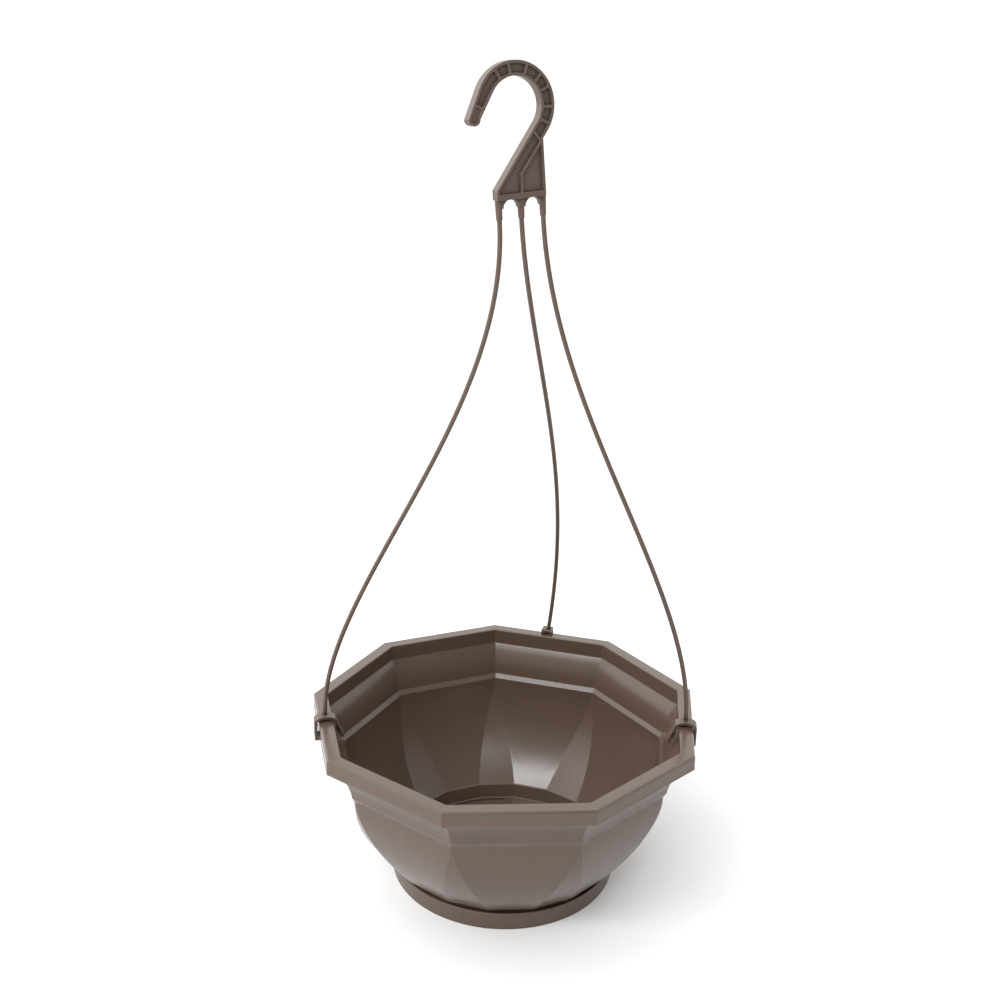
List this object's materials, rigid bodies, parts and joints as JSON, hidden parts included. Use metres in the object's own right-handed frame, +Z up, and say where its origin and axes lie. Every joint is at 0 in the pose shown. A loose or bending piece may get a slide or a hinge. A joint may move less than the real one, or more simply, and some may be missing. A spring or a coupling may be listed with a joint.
{
  "type": "hanging basket",
  "caption": "Nine-sided plastic planter bowl standing in a round saucer, hung by springy strands that clip over the rim and meet in a ribbed hook.",
  "frame": {"origin": "centre of the saucer's underside, which stands on the ground", "axes": "+Z up towards the hook; -Y is the side seen in a front view; the hook's opening faces about -Y"},
  "size_m": [0.2974, 0.2963, 0.6017],
  "materials": {
    "bowl_plastic": "satin moulded polypropylene, taupe",
    "saucer_plastic": "satin moulded polypropylene, taupe",
    "hanger_plastic": "satin moulded polypropylene, taupe"
  },
  "bodies": {
    "bowl": {"bowl": "bowl_plastic", "strand_left": "hanger_plastic", "strand_right": "hanger_plastic", "strand_back": "hanger_plastic"},
    "saucer": {"saucer": "saucer_plastic"},
    "hook": {"hook": "hanger_plastic"},
    "clip_left": {"clip_left": "hanger_plastic"},
    "clip_right": {"clip_right": "hanger_plastic"},
    "clip_back": {"clip_back": "hanger_plastic"}
  },
  "joints": [
    {"name": "saucer_release", "type": "slide", "parent": "bowl", "child": "saucer", "axis": [0, 0, -1], "range_m": [0, 0.03], "stiffness_N_per_m": 400},
    {"name": "hook_sway", "type": "hinge", "parent": "bowl", "child": "hook", "pos_m": [0.0014, 0, 0.262], "axis": [0.4384, -0.8988, 0], "range_deg": [-15, 15], "stiffness_Nm_per_rad": 0.8, "deforming": ["strand_left", "strand_back", "strand_right"]},
    {"name": "clip_left_slide", "type": "slide", "parent": "bowl", "child": "clip_left", "axis": [0.2385, -0.9711, 0], "range_m": [-0.02, 0.02], "stiffness_N_per_m": 300},
    {"name": "clip_back_slide", "type": "slide", "parent": "bowl", "child": "clip_back", "axis": [-0.9603, 0.279, 0], "range_m": [-0.02, 0.02], "stiffness_N_per_m": 300},
    {"name": "clip_right_slide", "type": "slide", "parent": "bowl", "child": "clip_right", "axis": [0.108, 0.9942, 0], "range_m": [-0.02, 0.02], "stiffness_N_per_m": 300}
  ]
}
